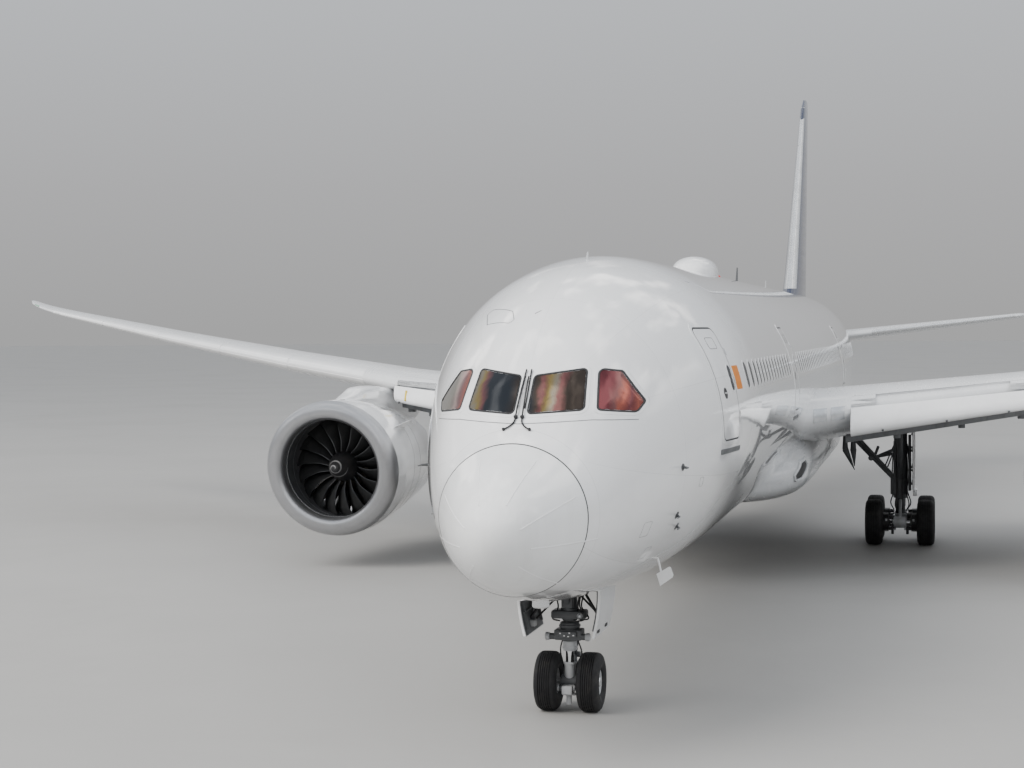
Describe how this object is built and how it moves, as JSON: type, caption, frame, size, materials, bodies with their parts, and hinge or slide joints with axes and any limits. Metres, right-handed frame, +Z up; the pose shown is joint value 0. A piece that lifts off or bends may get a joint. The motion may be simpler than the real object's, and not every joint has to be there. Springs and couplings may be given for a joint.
{
  "type": "half-size model of a twin-engine wide body airliner",
  "caption": "Wide body passenger jet at half size, parked on its landing gear: swept wings, underwing engines, turning wheels and fans, steered nose gear, moving rudder, elevators, ailerons.",
  "frame": {"origin": "on the ground under the middle of the aircraft's box", "axes": "+X to the aircraft's left (port) wing, +Y towards the tail, +Z up"},
  "size_m": [30.06, 31.405, 8.51],
  "materials": {
    "white_paint": "gloss white paint",
    "grey_paint": "satin grey paint",
    "navy_paint": "gloss dark blue paint",
    "bare_metal": "polished bare metal",
    "fan_metal": "dark satin metal",
    "hot_metal": "heat-tinted metal",
    "gear_paint": "light grey gloss paint",
    "tyre": "matte black rubber"
  },
  "bodies": {
    "airframe": {"radome": "white_paint", "fuselage_nose": "white_paint", "fuselage_forward": "white_paint", "fuselage_centre": "white_paint", "fuselage_aft": "white_paint", "fuselage_tail": "white_paint", "tail_cone": "white_paint", "belly_fairing": "grey_paint", "wing_left": "grey_paint", "wing_right": "grey_paint", "inboard_flap_left": "grey_paint", "inboard_flap_right": "grey_paint", "outboard_flap_left": "grey_paint", "outboard_flap_right": "grey_paint", "inboard_slat_left": "white_paint", "inboard_slat_right": "white_paint", "nacelle_left": "white_paint", "nacelle_right": "white_paint", "inlet_lip_left": "bare_metal", "inlet_lip_right": "bare_metal", "engine_core_left": "hot_metal", "engine_core_right": "hot_metal", "pylon_left": "white_paint", "pylon_right": "white_paint", "fin": "white_paint", "stabilizer_left": "grey_paint", "stabilizer_right": "grey_paint", "nose_gear_leg": "gear_paint", "nose_gear_door_left": "white_paint", "nose_gear_door_right": "white_paint", "main_gear_leg_left": "gear_paint", "main_gear_leg_right": "gear_paint", "bogie_left": "gear_paint", "bogie_right": "gear_paint", "main_gear_door_left": "white_paint", "main_gear_door_right": "white_paint"},
    "nose_steering": {"nose_gear_fork": "gear_paint"},
    "nose_wheel_pair": {"nose_wheels": "gear_paint", "nose_tyre_left": "tyre", "nose_tyre_right": "tyre"},
    "front_wheel_pair_left": {"main_wheels_front_left": "gear_paint", "main_tyre_front_outer_left": "tyre", "main_tyre_front_inner_left": "tyre"},
    "front_wheel_pair_right": {"main_wheels_front_right": "gear_paint", "main_tyre_front_outer_right": "tyre", "main_tyre_front_inner_right": "tyre"},
    "rear_wheel_pair_left": {"main_wheels_rear_left": "gear_paint", "main_tyre_rear_outer_left": "tyre", "main_tyre_rear_inner_left": "tyre"},
    "rear_wheel_pair_right": {"main_wheels_rear_right": "gear_paint", "main_tyre_rear_outer_right": "tyre", "main_tyre_rear_inner_right": "tyre"},
    "fan_rotor_left": {"fan_left": "fan_metal"},
    "fan_rotor_right": {"fan_right": "fan_metal"},
    "rudder_surface": {"rudder": "navy_paint"},
    "elevator_surface_left": {"elevator_left": "grey_paint"},
    "elevator_surface_right": {"elevator_right": "grey_paint"},
    "aileron_surface_left": {"aileron_left": "grey_paint"},
    "aileron_surface_right": {"aileron_right": "grey_paint"}
  },
  "joints": [
    {"name": "nose_gear_steer", "type": "hinge", "parent": "airframe", "child": "nose_steering", "pos_m": [0, -12.9275, 0.65], "axis": [0, 0, 1], "range_deg": [-70, 70]},
    {"name": "nose_wheel_spin", "type": "hinge", "parent": "nose_steering", "child": "nose_wheel_pair", "pos_m": [0, -12.9275, 0.254], "axis": [1, 0, 0], "continuous": true},
    {"name": "front_wheel_spin_left", "type": "hinge", "parent": "airframe", "child": "front_wheel_pair_left", "pos_m": [2.48, -0.3875, 0.343], "axis": [1, 0, 0], "continuous": true},
    {"name": "front_wheel_spin_right", "type": "hinge", "parent": "airframe", "child": "front_wheel_pair_right", "pos_m": [-2.48, -0.3875, 0.343], "axis": [1, 0, 0], "continuous": true},
    {"name": "rear_wheel_spin_left", "type": "hinge", "parent": "airframe", "child": "rear_wheel_pair_left", "pos_m": [2.48, 0.3625, 0.343], "axis": [1, 0, 0], "continuous": true},
    {"name": "rear_wheel_spin_right", "type": "hinge", "parent": "airframe", "child": "rear_wheel_pair_right", "pos_m": [-2.48, 0.3625, 0.343], "axis": [1, 0, 0], "continuous": true},
    {"name": "fan_spin_left", "type": "hinge", "parent": "airframe", "child": "fan_rotor_left", "pos_m": [5.045, -4.1525, 1.39], "axis": [0, 1, 0], "continuous": true},
    {"name": "fan_spin_right", "type": "hinge", "parent": "airframe", "child": "fan_rotor_right", "pos_m": [-5.045, -4.1525, 1.39], "axis": [0, 1, 0], "continuous": true},
    {"name": "rudder_hinge", "type": "hinge", "parent": "airframe", "child": "rudder_surface", "pos_m": [0, 12.68026, 4.425], "axis": [0, 0.4165, 0.9091], "range_deg": [-30, 30]},
    {"name": "elevator_hinge_left", "type": "hinge", "parent": "airframe", "child": "elevator_surface_left", "pos_m": [1.15, 13.53034, 3.11899], "axis": [0.898, 0.4286, 0.0999], "range_deg": [-25, 20]},
    {"name": "elevator_hinge_right", "type": "hinge", "parent": "airframe", "child": "elevator_surface_right", "pos_m": [-1.15, 13.53034, 3.11899], "axis": [0.898, -0.4286, -0.0999], "range_deg": [-25, 20]},
    {"name": "aileron_hinge_left", "type": "hinge", "parent": "airframe", "child": "aileron_surface_left", "pos_m": [10.7, 3.26132, 3.24147], "axis": [0.8898, 0.4354, 0.1368], "range_deg": [-25, 25]},
    {"name": "aileron_hinge_right", "type": "hinge", "parent": "airframe", "child": "aileron_surface_right", "pos_m": [-10.7, 3.26132, 3.24147], "axis": [0.8898, -0.4354, -0.1368], "range_deg": [-25, 25]}
  ]
}
